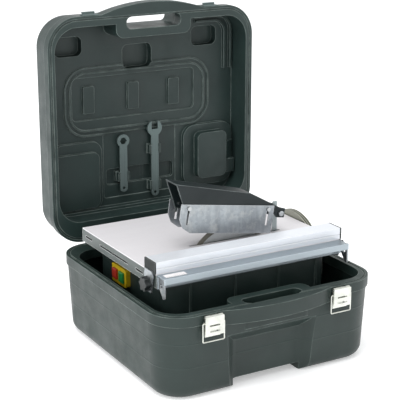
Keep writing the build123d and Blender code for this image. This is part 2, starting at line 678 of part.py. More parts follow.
def switch_box():
    """Yellow switch housing let into the left wall of the tray."""
    face = box(SWITCH_X, TRAY_X0 - 0.05, SWITCH_Y0, SWITCH_Y1, SWITCH_Z0, SWITCH_Z1)
    face = fillet(face.edges().filter_by(Axis.X), 4.0)
    y0, y1, z0, z1 = SWITCH_Y0 + 4, SWITCH_Y1 - 4, SWITCH_Z0 + 4, SWITCH_Z1 - 4
    body = box(TRAY_X0 - 0.1, TRAY_X0 + 24, y0, y1, z0, z1)
    body = body - box(TRAY_X0 + 6, TRAY_X0 + 22, y0 + 2, y1 - 2, z0 + 2, z1 - 2)
    housing = face + body
    for y in BUTTON_Y.values():
        hole = box(SWITCH_X - 1, TRAY_X0 + 7, y - 9.0, y + 9.0, BUTTON_Z0 - 0.5, BUTTON_Z1 + 0.5)
        housing = housing - hole
    return housing


def push_button(y):
    """Rectangular push button that slides in the housing."""
    cap = box(SWITCH_X - 4.0, TRAY_X0 + 9, y - 8.5, y + 8.5, BUTTON_Z0, BUTTON_Z1)
    return fillet(cap.faces().sort_by(Axis.X)[0].edges(), 1.5)


def cable_gland():
    """Gland in the back wall of the tray where the supply enters."""
    stem = rod_y(TRAY_Y1 - TRAY_T - 4, TRAY_Y1 + 1, GLAND_X, GLAND_Z, GLAND_R)
    nut = Pos(GLAND_X, TRAY_Y1 + 0.02, GLAND_Z) * Rot(-90, 0, 0) * extrude(RegularPolygon(11.0, 6), 7)
    cone = Pos(GLAND_X, TRAY_Y1 + 6.5, GLAND_Z) * Rot(-90, 0, 0) * Cone(
        8.5, 5.5, 8, align=(Align.CENTER, Align.CENTER, Align.MIN))
    return stem + nut + cone - rod_y(TRAY_Y1 - 12, TRAY_Y1 + 16, GLAND_X, GLAND_Z, 4.0)


# ---------------------------------------------------------------------------
# Fence and its clamps
# ---------------------------------------------------------------------------

def fence():
    """Aluminium channel that guides the tile, open underneath."""
    outer = slab(FENCE_X0, FENCE_X1, FENCE_Y0, FENCE_Y1, FENCE_BOTTOM, FENCE_TOP, 0.6)
    inner = box(FENCE_X0 - 1, FENCE_X1 + 1, FENCE_Y0 + FENCE_T, FENCE_Y1 - FENCE_T,
                FENCE_BOTTOM - 1, FENCE_TOP - FENCE_T)
    groove = box(FENCE_X0 - 1, FENCE_X1 + 1, FENCE_Y0 - 1, FENCE_Y0 + 0.8, 209.0, 211.0)
    lips = box(FENCE_X0, FENCE_X1, FENCE_Y0 + 1, FENCE_Y0 + 6, FENCE_BOTTOM, FENCE_BOTTOM + 1.4)
    return outer - inner - groove + lips


def fence_end(side):
    """X of the fence's end and the outward direction at that end."""
    return (FENCE_X0, -1.0) if side == "left" else (FENCE_X1, 1.0)


def fence_cap(side):
    """Moulded cap that plugs the end of the fence."""
    x, out = fence_end(side)
    a, b = sorted((x + out * 0.05, x + out * 3.0))
    cap = box(a, b, FENCE_Y0, FENCE_Y1, FENCE_BOTTOM, FENCE_TOP)
    c, d = sorted((x - out * 8.0, x + out * 0.1))
    plug = box(c, d, FENCE_Y0 + 6.2, FENCE_Y1 - 2.7, 208.0, FENCE_TOP - 2.7)
    e, f = sorted((x - out * 10.0, x + out * 4.0))
    notch = box(e, f, FENCE_Y0 + 5.8, FENCE_Y1 - 5.8, FENCE_BOTTOM - 1, 205.2)
    return cap + plug - notch


def fence_clamp(side):
    """Angle bracket from inside the fence down past the table's skirt."""
    x, out = fence_end(side)
    y = (FENCE_Y0 + FENCE_Y1) / 2
    a, b = sorted((x + out * 3.1, x + out * 5.6))
    points = [
        (y - 12, 205.0), (y + 12, 205.0), (y + 15, 195.0),
        (y + 9, 166.0), (y - 9, 166.0), (y - 15, 195.0),
    ]
    drop = plate_yz(points, a, b)
    c, d = sorted((x - out * 24.0, x + out * 5.6))
    tab = box(c, d, y - 12, y + 12, 203.0, 205.0)
    hole = rod_x(a - 1, b + 1, y, KNOB_Z, 3.0 + FIT)
    return drop + tab - hole - rod_z(202, 206, x - out * 14, y, 2.2)


def clamp_knob(side):
    """Lobed knob with its threaded stud, which presses on the skirt."""
    x, out = fence_end(side)
    y = (FENCE_Y0 + FENCE_Y1) / 2
    table_side = TABLE_X0 if side == "left" else TABLE_X1
    tip = table_side + out * 0.4
    a, b = sorted((tip, x + out * 10.0))
    stud = rod_x(a, b, y, KNOB_Z, 3.0)
    c, d = sorted((x + out * 6.2, x + out * 17.0))
    knob = rod_x(c, d, y, KNOB_Z, KNOB_R)
    for i in range(6):
        angle = math.radians(60 * i + 30)
        ry = y + (KNOB_R + 3.5) * math.cos(angle)
        rz = KNOB_Z + (KNOB_R + 3.5) * math.sin(angle)
        knob = knob - rod_x(c - 1, d + 1, ry, rz, 6.5)
    return knob + stud


def clamp_screws():
    """Screws that hold the fence on its two brackets."""
    shapes = []
    y = (FENCE_Y0 + FENCE_Y1) / 2
    for side in ("left", "right"):
        x, out = fence_end(side)
        at = x - out * 14
        shapes.append(rod_z(202.2, 205.0, at, y, 2.0) + rod_z(205.05, 208.0, at, y, 4.0))
    return shapes


# ---------------------------------------------------------------------------
# Blade, arbor and motor
# ---------------------------------------------------------------------------

def disc_y(y, t, r, hole):
    """Flat ring standing in the plane of the blade."""
    return rod_y(y - t / 2, y + t / 2, AXIS_X, AXIS_Z, r) - rod_y(y - t, y + t, AXIS_X, AXIS_Z, hole)


def blade_core():
    """Steel centre of the cutting disc."""
    core = disc_y(BLADE_Y, CORE_T, CORE_R, ARBOR_R + FIT)
    for i in range(6):
        angle = math.radians(60 * i)
        x = AXIS_X + 52 * math.cos(angle)
        z = AXIS_Z + 52 * math.sin(angle)
        core = core - rod_y(BLADE_Y - 3, BLADE_Y + 3, x, z, 3.5)
    return core


def diamond_rim():
    """Continuous diamond rim bonded round the core."""
    return disc_y(BLADE_Y, BLADE_RIM_T, BLADE_R, CORE_R)


def outer_flange():
    """Clamping flange between blade and nut."""
    ring = rod_y(-30.0, BLADE_Y - CORE_T / 2, AXIS_X, AXIS_Z, FLANGE_R)
    return ring - rod_y(-31, -20, AXIS_X, AXIS_Z, ARBOR_R + FIT)


def inner_flange():
    """Fixed flange behind the blade."""
    ring = rod_y(BLADE_Y + CORE_T / 2, -17.5, AXIS_X, AXIS_Z, FLANGE_R)
    return ring - rod_y(-26, -17, AXIS_X, AXIS_Z, ARBOR_R + FIT)


def arbor_nut():
    """Hexagon nut on the end of the shaft."""
    nut = extrude(RegularPolygon(11.0, 6, major_radius=False), 7.0)
    nut = Pos(AXIS_X, -30.05, AXIS_Z) * Rot(90, 0, 0) * nut
    return nut - rod_y(-39, -29, AXIS_X, AXIS_Z, ARBOR_R + FIT)


def motor_shaft():
    """Shaft that carries the blade, the rotor and the fan."""
    return merged([
        rod_y(-40.0, -17.4, AXIS_X, AXIS_Z, ARBOR_R),
        rod_y(-17.4, -4.0, AXIS_X, AXIS_Z, 10.0),
        rod_y(-4.0, 96.0, AXIS_X, AXIS_Z, ARBOR_R),
    ])


def bearing(y0, y1):
    """Ball bearing drawn as its closed ring."""
    ring = rod_y(y0, y1, AXIS_X, AXIS_Z, BEARING_R)
    return ring - rod_y(y0 - 1, y1 + 1, AXIS_X, AXIS_Z, ARBOR_R + FIT)


def rotor():
    """Laminated rotor on the shaft."""
    core = rod_y(22.0, 66.0, AXIS_X, AXIS_Z, 22.0)
    core = core - rod_y(20, 68, AXIS_X, AXIS_Z, ARBOR_R + FIT)
    for i in range(12):
        angle = math.radians(30 * i)
        x = AXIS_X + 22 * math.cos(angle)
        z = AXIS_Z + 22 * math.sin(angle)
        core = core - rod_y(21, 67, x, z, 1.4)
    return core


def stator():
    """Wound stator pressed into the motor housing."""
    ring = rod_y(20.0, 68.0, AXIS_X, AXIS_Z, MOTOR_R - 3.6)
    return ring - rod_y(19, 69, AXIS_X, AXIS_Z, 22.8)


def cooling_fan():
    """Small fan behind the rotor."""
    hub = rod_y(71.0, 79.0, AXIS_X, AXIS_Z, 12.0)
    back = rod_y(77.5, 79.0, AXIS_X, AXIS_Z, 30.0)
    fan = hub + back
    for i in range(8):
        vane = box(10.0, 30.0, 71.0, 78.0, -0.9, 0.9)
        fan = fan + Pos(AXIS_X, 0, AXIS_Z) * Rot(0, 45 * i, 0) * vane
    return fan - rod_y(70, 80, AXIS_X, AXIS_Z, ARBOR_R + FIT)


def motor_housing():
    """Die-cast cup round the motor, with cooling fins and the front bearing seat."""
    shell = rod_y(MOTOR_Y0, 82.0, AXIS_X, AXIS_Z, MOTOR_R)
    for i in range(24):
        fin = box(MOTOR_R - 1.5, MOTOR_R + 2.0, 12.0, 78.0, -1.0, 1.0)
        shell = shell + Pos(AXIS_X, 0, AXIS_Z) * Rot(0, 15 * i, 0) * fin
    shell = shell - rod_y(13.0, 83, AXIS_X, AXIS_Z, MOTOR_R - 3.5)
    shell = shell - rod_y(1.0, 14, AXIS_X, AXIS_Z, BEARING_R + FIT)
    return shell - rod_y(-3, 2, AXIS_X, AXIS_Z, 10.5)


def cover_screw_centres():
    """X and Z of the four screws of the motor's rear cover."""
    angles = [math.radians(45 + 90 * i) for i in range(4)]
    return [(AXIS_X + COVER_PCR * math.cos(a), AXIS_Z + COVER_PCR * math.sin(a)) for a in angles]


def motor_cover():
    """Rear cover of the motor with the rear bearing seat."""
    cover = rod_y(82.1, MOTOR_Y1, AXIS_X, AXIS_Z, MOTOR_R)
    cover = cover - rod_y(81, 86.0, AXIS_X, AXIS_Z, MOTOR_R - 3.5)
    cover = cover - rod_y(81, 97.05, AXIS_X, AXIS_Z, BEARING_R + FIT)
    for x, z in cover_screw_centres():
        cover = cover - rod_y(81, 101, x, z, 1.8 + FIT)
    return cover


def motor_screws():
    """Four long screws through the rear cover."""
    shapes = []
    for x, z in cover_screw_centres():
        stem = rod_y(82.2, MOTOR_Y1 + 0.1, x, z, 1.8)
        shapes.append(stem + rod_y(MOTOR_Y1 + 0.05, MOTOR_Y1 + 2.5, x, z, 3.4))
    return shapes


def motor_bracket():
    """Bent steel hanger from the table down to the motor's front face."""
    web = box(AXIS_X - 46, 126.0, -6.0, -2.1, 100.0, TABLE_Z - SHEET - 0.05)
    web = web - rod_y(-8, 0, AXIS_X, AXIS_Z, 12.0)
    flange = box(AXIS_X - 46, 126.0, -6.0, 22.0, TABLE_Z - SHEET - 4.0, TABLE_Z - SHEET - 0.05)
    ear = box(108.0, 126.0, -23.0, -20.0, 150.0, 190.0)
    side = box(123.0, 126.0, -23.0, -2.1, 150.0, 190.0)
    return web + flange + ear + side


def bracket_screws():
    """Screws that hold the motor on its hanger."""
    corners = ((-28.0, -28.0), (28.0, -28.0), (-28.0, 28.0), (28.0, 28.0))
    return [rod_y(-9.0, -6.05, AXIS_X + dx, AXIS_Z + dz, 4.0) for dx, dz in corners]


def capacitor():
    """Run capacitor strapped beside the motor."""
    can = rod_y(20.0, 78.0, 92.0, 168.0, 14.0)
    return can + rod_y(14.0, 20.0, 92.0, 168.0, 3.0)


def riving_knife():
    """Steel knife behind the blade that also carries the guard."""
    y0 = BLADE_Y - KNIFE_T / 2
    points = [(KNIFE_X0, 150.0), (KNIFE_X1, 150.0), (KNIFE_X1, KNIFE_TOP), (KNIFE_X0 + 1, KNIFE_TOP)]
    blade = plate_xz(points, y0, y0 + KNIFE_T)
    blade = blade + box(KNIFE_X0, KNIFE_X1 + 1.4, y0, -23.05, 150.0, 190.0)
    return blade - rod_y(y0 - 1, y0 + 4, PIVOT_X, PIVOT_Z, PIVOT_R + FIT)


# ---------------------------------------------------------------------------
# Guard
# ---------------------------------------------------------------------------

def tilted(shape):
    """Raise a shape drawn in the guard's level frame to its rest position."""
    return Pos(PIVOT_X, BLADE_Y, PIVOT_Z) * Rot(0, GUARD_TILT, 0) * shape


def guard_hood():
    """Moulded hood over the blade, open below and at the nose."""
    solid = plate_xz(HOOD_SIDE, -HOOD_HALF, HOOD_HALF)
    core = [
        (-240.0, 50.0 - HOOD_T + 1.0), (-71.0, 36.6 - HOOD_T), (-13.0, 12.2),
        (12.0, 12.2), (12.0, -12.0), (-240.0, -12.0),
    ]
    hood = solid - plate_xz(core, -HOOD_HALF + HOOD_T, HOOD_HALF - HOOD_T)
    hood = hood - box(-14.0, 12.0, -2.2, 2.2, -12.0, 30.0)
    hood = hood - rod_y(-HOOD_HALF - 1, HOOD_HALF + 1, 0.0, 0.0, PIVOT_R + FIT)
    for x in PLATE_SCREWS:
        hood = hood - rod_y(-HOOD_HALF - 1, HOOD_HALF + 1, x, PLATE_SCREW_Z, 1.6)
    return tilted(hood)


def guard_plate(near):
    """Galvanised side plate with two upright slots, outside the hood."""
    y0 = -HOOD_HALF - 0.35 - PLATE_T if near else HOOD_HALF + 0.35
    points = [
        (PLATE_X0, PLATE_TOP), (PLATE_X1, PLATE_TOP), (PLATE_X1, PLATE_BOTTOM),
        (PLATE_X0 + 24, PLATE_BOTTOM), (PLATE_X0 + 8, PLATE_BOTTOM + 9), (PLATE_X0, PLATE_BOTTOM + 24),
    ]
    plate = plate_xz(points, y0, y0 + PLATE_T)
    for x in PLATE_SCREWS:
        z0 = PLATE_SCREW_Z - PLATE_TRAVEL - 2.2
        slot = box(x - 2.2, x + 2.2, y0 - 1, y0 + PLATE_T + 1, z0, PLATE_SCREW_Z + 2.2)
        plate = plate - slot
    return tilted(plate)


def guard_screws():
    """Shouldered screws that the side plates slide on, two each side."""
    shapes = []
    for side in (-1, 1):
        for x in PLATE_SCREWS:
            a = side * (HOOD_HALF - HOOD_T - 2.0)
            b = side * (HOOD_HALF + 0.35 + PLATE_T + 0.35)
            c = side * (HOOD_HALF + 0.35 + PLATE_T + 2.6)
            stem = rod_y(min(a, b), max(a, b), x, PLATE_SCREW_Z, 1.55)
            head = rod_y(min(b, c), max(b, c), x, PLATE_SCREW_Z, 3.6)
            shapes.append(tilted(stem + head))
    return shapes


def guard_pivot_screw():
    """Screw through the hood's ears and the riving knife."""
    stem = rod_y(-HOOD_HALF - 0.3, HOOD_HALF + 6.0, 0, 0, PIVOT_R)
    head = rod_y(-HOOD_HALF - 3.8, -HOOD_HALF - 0.3, 0, 0, 5.0)
    slot = box(-5.5, 5.5, -HOOD_HALF - 4.5, -HOOD_HALF - 2.8, -0.7, 0.7)
    return tilted(stem + head - slot)


def guard_pivot_nut():
    """Locking nut on the far end of the pivot screw."""
    nut = extrude(RegularPolygon(5.0, 6, major_radius=False), 4.5)
    nut = Pos(0, HOOD_HALF + 0.3, 0) * Rot(-90, 0, 0) * nut
    return tilted(nut - rod_y(HOOD_HALF, HOOD_HALF + 6, 0, 0, PIVOT_R + FIT))


def spare_blades():
    """Spare discs standing on edge in the cradle."""
    shapes = []
    for x in SPARE_X:
        disc = rod_x(x - SPARE_T / 2, x + SPARE_T / 2, SPARE_Y, SPARE_Z, BLADE_R)
        shapes.append(disc - rod_x(x - 3, x + 3, SPARE_Y, SPARE_Z, ARBOR_R + 3.7))
    return shapes


def write(name, shape):
    """Export one node; a list becomes a group of separate solids."""
    if isinstance(shape, list):
        shape = Compound(children=[s if isinstance(s, Solid) else s.solids()[0] for s in shape])
    export_step(shape, f"parts/{name}.step")


def main():
    os.makedirs("parts", exist_ok=True)
    z_floor = BASE_H + LID_GAP + LID_CAVITY
    nodes = {
        "case_base": case_base(),
        "case_lid": opened(case_lid()),
        "hinge_pins": hinge_pins(),
        "ring_spanner": opened(ring_spanner(z_floor)),
        "open_spanner": opened(open_spanner(z_floor)),
        "latch_pins": latch_pins(),
        "latch_rivets": latch_rivets(),
        "table_top": table_top(),
        "front_rail": front_rail(),
        "scale_label": scale_label(),
        "water_tray": water_tray(),
        "drain_plug": drain_plug(),
        "table_screws": table_screws(),
        "switch_box": switch_box(),
        "cable_gland": cable_gland(),
        "fence": fence(),
        "clamp_screws": clamp_screws(),
        "blade_core": blade_core(),
        "diamond_rim": diamond_rim(),
        "outer_flange": outer_flange(),
        "inner_flange": inner_flange(),
        "arbor_nut": arbor_nut(),
        "motor_shaft": motor_shaft(),
        "front_bearing": bearing(1.5, 12.5),
        "rear_bearing": bearing(86.0, 96.9),
        "rotor": rotor(),
        "stator": stator(),
        "cooling_fan": cooling_fan(),
        "motor_housing": motor_housing(),
        "motor_cover": motor_cover(),
        "motor_screws": motor_screws(),
        "motor_bracket": motor_bracket(),
        "bracket_screws": bracket_screws(),
        "capacitor": capacitor(),
        "riving_knife": riving_knife(),
        "guard_hood": guard_hood(),
        "guard_plate_near": guard_plate(near=True),
        "guard_plate_far": guard_plate(near=False),
        "guard_screws": guard_screws(),
        "guard_pivot_screw": guard_pivot_screw(),
        "guard_pivot_nut": guard_pivot_nut(),
        "spare_blades": spare_blades(),
    }
    for side, x in LATCH_X.items():
        nodes[f"latch_plate_{side}"] = latch_plate(x)
        nodes[f"latch_lever_{side}"] = latch_lever(x)
        nodes[f"latch_bail_{side}"] = latch_bail(x)
        nodes[f"lid_catch_{side}"] = opened(lid_catch(x))
        nodes[f"rail_bracket_{side}"] = rail_bracket(side)
        nodes[f"fence_cap_{side}"] = fence_cap(side)
        nodes[f"fence_clamp_{side}"] = fence_clamp(side)
        nodes[f"clamp_knob_{side}"] = clamp_knob(side)
    for colour, y in BUTTON_Y.items():
        nodes[f"{colour}_button"] = push_button(y)
    for name, shape in nodes.items():
        write(name, shape)


main()
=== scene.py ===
import json
import math

import bmesh
import bpy
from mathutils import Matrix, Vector


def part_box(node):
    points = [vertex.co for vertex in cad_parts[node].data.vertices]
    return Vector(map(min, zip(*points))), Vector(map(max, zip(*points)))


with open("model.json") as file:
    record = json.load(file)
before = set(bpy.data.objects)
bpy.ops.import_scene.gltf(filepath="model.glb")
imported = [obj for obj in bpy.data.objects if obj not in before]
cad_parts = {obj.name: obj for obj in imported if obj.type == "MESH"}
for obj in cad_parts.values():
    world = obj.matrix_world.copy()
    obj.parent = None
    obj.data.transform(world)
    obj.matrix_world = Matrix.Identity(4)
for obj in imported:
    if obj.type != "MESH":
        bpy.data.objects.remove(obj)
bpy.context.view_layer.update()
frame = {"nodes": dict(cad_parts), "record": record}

# ---------------------------------------------------------------------------
# Wet tile cutter in its carry case. Metres, in the imported model's frame.
# Every visible piece is a CAD node; each keeps its shape and gets a procedural material. The moulded
# plastics and drawn metals also soften its edges through their normals.
# ---------------------------------------------------------------------------

NODES = frame["nodes"]

CAMERA_PLACE = (-1.0887, -1.8432, 0.9096)
CAMERA_TILT = (math.pi / 2 - 0.29, 0.0, -0.522)
CAMERA_LENS = 110.8
SENSOR_WIDTH = 36.0

# Each light: name, place, size and power
LIGHTS = (
    ("top_light", (-0.8, -0.4, 3.0), (1.6, 1.6), 40.0),
    ("left_light", (-3.0, -0.6, 1.5), (1.2, 1.2), 34.0),
)
LIGHT_TARGET = (0.0, 0.0, 0.25)
SURROUND = 0.98
FLOOR_SIZE = 30.0
FLOOR_Z = -0.0005

# Faint mould lines round the case base, as fractions of its height
MOULD_LINES = (0.66, 0.38)
MOULD_LINE_EDGES = (0.0004, 0.0016)
EDGE_RADIUS = 0.0016
# Depth below the table top where the skirt's painted shade begins
SKIRT_SHADE_DEPTH = 0.0016
TICKS_PER_METRE = 250.0
TICK_BAND = 0.35


def linear(*srgb):
    """Scene-linear colour from 0 to 255 display values."""
    values = [c / 255.0 for c in srgb]
    return tuple(c / 12.92 if c <= 0.04045 else ((c + 0.055) / 1.055) ** 2.4 for c in values) + (1.0,)


def shade(colour, factor):
    """The same colour, lighter or darker."""
    return tuple(min(1.0, c * factor) for c in colour[:3]) + (1.0,)


# ---------------------------------------------------------------------------
# Node helpers
# ---------------------------------------------------------------------------

class Surface:
    """A new material with the few node chains that all of them use."""

    def __init__(self, name, roughness=0.5, metallic=0.0, specular=0.5):
        self.material = bpy.data.materials.new(name)
        self.material.use_nodes = True
        self.tree = self.material.node_tree
        self.shader = self.tree.nodes["Principled BSDF"]
        self.shader.inputs["Roughness"].default_value = roughness
        self.shader.inputs["Metallic"].default_value = metallic
        self.shader.inputs["Specular IOR Level"].default_value = specular
        self.place = self.tree.nodes.new("ShaderNodeTexCoord").outputs["Object"]

    def link(self, a, b):
        self.tree.links.new(a, b)

    def node(self, kind, **values):
        made = self.tree.nodes.new(kind)
        for key, value in values.items():
            setattr(made, key, value)
        return made

    def stretched(self, x, y, z):
        """Object coordinates scaled per axis."""
        mapping = self.node("ShaderNodeMapping")
        mapping.inputs["Scale"].default_value = (x, y, z)
        self.link(self.place, mapping.inputs["Vector"])
        return mapping.outputs["Vector"]

    def noise(self, scale, detail=3.0, rough=0.55, vector=None):
        made = self.node("ShaderNodeTexNoise")
        made.inputs["Scale"].default_value = scale
        made.inputs["Detail"].default_value = detail
        made.inputs["Roughness"].default_value = rough
        self.link(vector or self.place, made.inputs["Vector"])
        return made.outputs["Fac"]

    def coordinate(self, axis):
        """One coordinate of the place on the object."""
        split = self.node("ShaderNodeSeparateXYZ")
        self.link(self.place, split.inputs["Vector"])
        return split.outputs[axis]

    def cells(self, scale):
        made = self.node("ShaderNodeTexVoronoi")
        made.inputs["Scale"].default_value = scale
        self.link(self.place, made.inputs["Vector"])
        return made

    def remap(self, value, low, high, to_low=0.0, to_high=1.0):
        made = self.node("ShaderNodeMapRange")
        limits = {"From Min": low, "From Max": high, "To Min": to_low, "To Max": to_high}
        for key, number in limits.items():
            made.inputs[key].default_value = number
        self.link(value, made.inputs["Value"])
        return made.outputs["Result"]

    def mix(self, factor, a, b):
        """Colour mix; a and b are colours or sockets."""
        made = self.node("ShaderNodeMix", data_type="RGBA")
        self.link(factor, made.inputs["Factor"])
        for socket, value in ((made.inputs["A"], a), (made.inputs["B"], b)):
            if isinstance(value, tuple):
                socket.default_value = value
            else:
                self.link(value, socket)
        return made.outputs["Result"]

    def math(self, operation, a, b=0.0):
        made = self.node("ShaderNodeMath", operation=operation)
        for socket, value in ((made.inputs[0], a), (made.inputs[1], b)):
            if isinstance(value, (int, float)):
                socket.default_value = value
            else:
                self.link(value, socket)
        return made.outputs["Value"]

    def rounded(self, radius):
        """Normal that softens the sharp edges of the shape."""
        made = self.node("ShaderNodeBevel", samples=6)
        made.inputs["Radius"].default_value = radius
        return made.outputs["Normal"]

    def edges(self, radius):
        """1 along the sharp edges of the shape, 0 on its faces."""
        flat = self.node("ShaderNodeNewGeometry").outputs["Normal"]
        dot = self.node("ShaderNodeVectorMath", operation="DOT_PRODUCT")
        self.link(self.rounded(radius), dot.inputs[0])
        self.link(flat, dot.inputs[1])
        return self.remap(dot.outputs["Value"], 0.995, 0.90)

    def bump(self, height, strength, distance, below=None):
        made = self.node("ShaderNodeBump")
        made.inputs["Strength"].default_value = strength
        made.inputs["Distance"].default_value = distance
        self.link(height, made.inputs["Height"])
        if below is not None:
            self.link(below, made.inputs["Normal"])
        self.link(made.outputs["Normal"], self.shader.inputs["Normal"])
        return made.outputs["Normal"]

    def colour(self, value):
        self.link(value, self.shader.inputs["Base Color"])

    def roughness(self, value):
        self.link(value, self.shader.inputs["Roughness"])


# ---------------------------------------------------------------------------
# Materials
# ---------------------------------------------------------------------------

def moulded_plastic(name, colour, edge_wear_and_highlight, grain=900.0, rough=(0.34, 0.52), bump=0.25, bands=()):
    """Grained moulding: cloudy colour, pebble grain, paler edges that are partly wear and partly a
    painted highlight, dust and mould lines.
    """
    s = Surface(name, specular=0.4)
    clouds = s.remap(s.noise(9.0, 4.0), 0.3, 0.7)
    base = s.mix(clouds, shade(colour, 0.84), shade(colour, 1.14))
    specks = s.remap(s.noise(420.0, 2.0), 0.62, 0.78)
    base = s.mix(s.math("MULTIPLY", specks, 0.2), base, shade(colour, 1.8))
    scuffs = s.remap(s.noise(1.0, 4.0, 0.7, s.stretched(30.0, 30.0, 160.0)), 0.60, 0.74)
    base = s.mix(s.math("MULTIPLY", scuffs, 0.3), base, shade(colour, 1.9))
    # Paler edges: partly wear, partly a painted highlight along the rounded edges.
    wear_and_highlight = s.math("MULTIPLY", s.edges(0.0022), s.remap(s.noise(45.0), 0.3, 0.6, 0.25, 1.0))
    base = s.mix(wear_and_highlight, base, edge_wear_and_highlight)
    normal = s.bump(s.noise(grain, 2.0), bump, 0.0004, below=s.rounded(EDGE_RADIUS))
    normal = s.bump(s.noise(26.0, 2.0), 0.12, 0.002, below=normal)
    for level in bands:
        away = s.math("ABSOLUTE", s.math("SUBTRACT", s.coordinate("Z"), level))
        line = s.remap(away, *MOULD_LINE_EDGES, 1.0, 0.0)
        base = s.mix(s.math("MULTIPLY", line, 0.22), base, shade(colour, 1.9))
        normal = s.bump(line, 0.5, 0.0008, below=normal)
    s.colour(base)
    s.roughness(s.remap(s.noise(30.0, 3.0), 0.3, 0.7, rough[0], rough[1]))
    return s.material


def sheet_with_shaded_skirt(name, colour, skirt):
    """Pale top over a skirt darkened as painted shade, with faint smears, grit, a painted highlight
    along its edges and an orange-peel surface.
    """
    s = Surface(name, specular=0.5)
    smear = s.remap(s.noise(7.0, 5.0, 0.6, s.stretched(1.0, 2.4, 1.0)), 0.35, 0.75)
    base = s.mix(smear, colour, shade(colour, 0.93))
    dots = s.remap(s.noise(700.0, 1.0), 0.70, 0.76)
    base = s.mix(s.math("MULTIPLY", dots, 0.35), base, linear(150, 150, 148))
    # Painted shade: below the top, the skirt takes a darker colour.
    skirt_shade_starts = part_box("table_top")[1].z - SKIRT_SHADE_DEPTH
    below = s.math("LESS_THAN", s.coordinate("Z"), skirt_shade_starts)
    painted_skirt_shade = s.mix(s.remap(s.noise(24.0, 4.0), 0.3, 0.7), shade(skirt, 0.8), shade(skirt, 1.2))
    base = s.mix(below, base, painted_skirt_shade)
    # Painted highlight along the table's edges.
    base = s.mix(s.math("MULTIPLY", s.edges(0.0012), 0.8), base, linear(236, 238, 238))
    s.colour(base)
    s.roughness(s.remap(smear, 0.0, 1.0, 0.34, 0.5))
    s.bump(s.noise(260.0, 2.0), 0.12, 0.0004)
    return s.material


def drawn_metal(name, colour, along, rough=(0.28, 0.46), streak=0.12, metallic=1.0, lip=0.0008):
    """Metal with fine straight streaks along one axis, like extrusions and brushed sheet."""
    s = Surface(name, metallic=metallic)
    scale = [1400.0, 1400.0, 1400.0]
    scale["xyz".index(along)] = 6.0
    lines = s.remap(s.noise(1.0, 3.0, 0.7, s.stretched(*scale)), 0.3, 0.7)
    clouds = s.remap(s.noise(14.0, 3.0), 0.3, 0.7)
    base = s.mix(lines, shade(colour, 1.0 - streak), shade(colour, 1.0 + streak))
    base = s.mix(s.math("MULTIPLY", clouds, 0.35), base, shade(colour, 0.82))
    # Painted highlight along the edges, such as the rail's front lip.
    base = s.mix(s.edges(lip), base, shade(colour, 1.6))
    s.colour(base)
    s.roughness(s.remap(lines, 0.0, 1.0, rough[0], rough[1]))
    s.bump(lines, 0.06, 0.0002, below=s.rounded(lip))
    return s.material


def galvanised(name, colour):
    """Zinc coated sheet with crystal patches, dried splashes and dull spots."""
    s = Surface(name, metallic=0.85)
    crystal = s.cells(190.0).outputs["Color"]
    tone = s.node("ShaderNodeSeparateColor")
    s.link(crystal, tone.inputs["Color"])
    base = s.mix(tone.outputs["Red"], shade(colour, 0.9), shade(colour, 1.08))
    runs = s.remap(s.noise(1.0, 4.0, 0.6, s.stretched(60.0, 60.0, 9.0)), 0.38, 0.66)
    base = s.mix(s.math("MULTIPLY", runs, 0.6), base, shade(colour, 0.6))
    splash = s.remap(s.noise(45.0, 5.0, 0.7), 0.5, 0.68)
    base = s.mix(s.math("MULTIPLY", splash, 0.45), base, linear(214, 216, 214))
    # Painted highlight along the sheet's edges.
    base = s.mix(s.edges(0.0006), base, linear(235, 236, 236))
    s.colour(base)
    s.roughness(s.remap(splash, 0.0, 1.0, 0.32, 0.6))
    s.bump(s.noise(300.0, 3.0), 0.12, 0.0003)
    return s.material


def plated(name, colour, rough=(0.2, 0.36)):
    """Bright plated small parts with a light patina."""
    s = Surface(name, metallic=1.0)
    clouds = s.remap(s.noise(70.0, 4.0), 0.35, 0.7)
    base = s.mix(clouds, colour, shade(colour, 0.8))
    # Painted highlight along the edges.
    base = s.mix(s.edges(0.0004), base, shade(colour, 1.3))
    s.colour(base)
    s.roughness(s.remap(clouds, 0.0, 1.0, rough[0], rough[1]))
    s.bump(s.noise(500.0, 2.0), 0.05, 0.0002)
    return s.material


def ground_disc(name, colour, node, axis):
    """Disc ground in circles about its own centre line, with a few water marks."""
    s = Surface(name, metallic=0.9)
    low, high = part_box(node)
    centre = (low + high) / 2
    shift = s.node("ShaderNodeVectorMath", operation="SUBTRACT")
    shift.inputs[1].default_value = centre
    s.link(s.place, shift.inputs[0])
    flat = s.node("ShaderNodeVectorMath", operation="MULTIPLY")
    flat.inputs[1].default_value = [0.0 if c == axis else 1.0 for c in "xyz"]
    s.link(shift.outputs["Vector"], flat.inputs[0])
    radius = s.node("ShaderNodeVectorMath", operation="LENGTH")
    s.link(flat.outputs["Vector"], radius.inputs[0])
    rings = s.node("ShaderNodeTexNoise", noise_dimensions="1D")
    rings.inputs["Scale"].default_value = 2600.0
    rings.inputs["Detail"].default_value = 3.0
    s.link(radius.outputs["Value"], rings.inputs["W"])
    lines = s.remap(rings.outputs["Fac"], 0.3, 0.7)
    base = s.mix(lines, shade(colour, 0.8), shade(colour, 1.15))
    marks = s.remap(s.noise(35.0, 4.0), 0.52, 0.68)
    base = s.mix(s.math("MULTIPLY", marks, 0.5), base, shade(colour, 0.6))
    s.colour(base)
    s.roughness(s.remap(lines, 0.0, 1.0, 0.3, 0.5))
    s.bump(lines, 0.08, 0.0002)
    return s.material


def diamond_grit(name, colour):
    """Sintered rim: matte bronze-grey with pale grains standing out."""
    s = Surface(name, roughness=0.75, metallic=0.3)
    grains = s.remap(s.cells(1500.0).outputs["Distance"], 0.1, 0.45, 1.0, 0.0)
    base = s.mix(grains, shade(colour, 0.7), shade(colour, 1.5))
    s.colour(base)
    s.bump(grains, 0.5, 0.0004)
    return s.material


